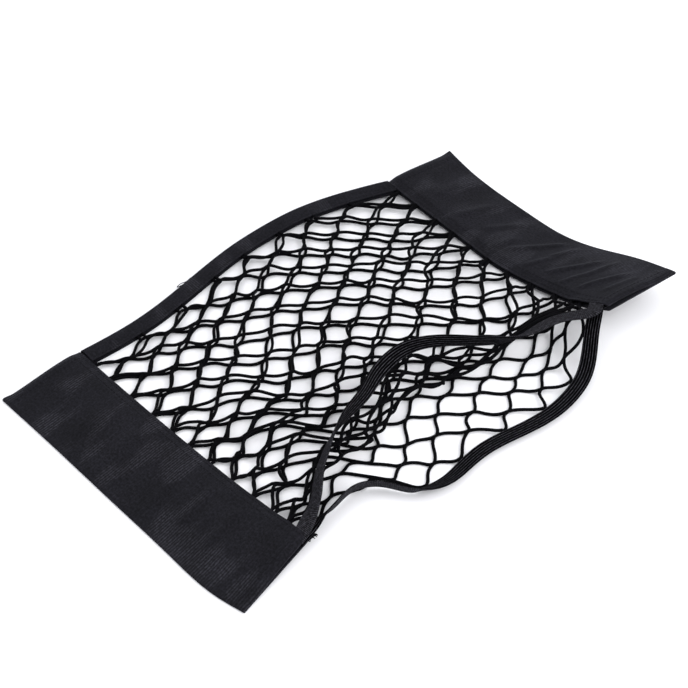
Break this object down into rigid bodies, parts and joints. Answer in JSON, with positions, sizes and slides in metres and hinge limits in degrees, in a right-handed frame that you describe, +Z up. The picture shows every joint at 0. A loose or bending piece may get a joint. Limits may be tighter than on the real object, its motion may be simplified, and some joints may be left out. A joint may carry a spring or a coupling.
{
  "type": "cargo net",
  "caption": "Elastic mesh pocket net with two diamond-mesh layers, a folded back binding, ribbed elastic mouths and wide webbing end bands, lying loose on a surface.",
  "frame": {"origin": "on the surface, under the middle of the whole net's bounding box", "axes": "+X from the left band to the right band, +Y towards the closed back edge, +Z up"},
  "size_m": [0.4353, 0.2974, 0.0317],
  "materials": {
    "webbing": "matte, fine crosswise ribs",
    "elastic": "slightly glossy ribs on one face, matte on the other",
    "net_cord": "matte knotless cord"
  },
  "bodies": {
    "root": {"left_band": "webbing", "right_band": "webbing", "back_binding": "webbing", "elastic_lower": "elastic", "elastic_upper": "elastic", "net_lower": "net_cord", "net_upper": "net_cord"}
  },
  "joints": []
}
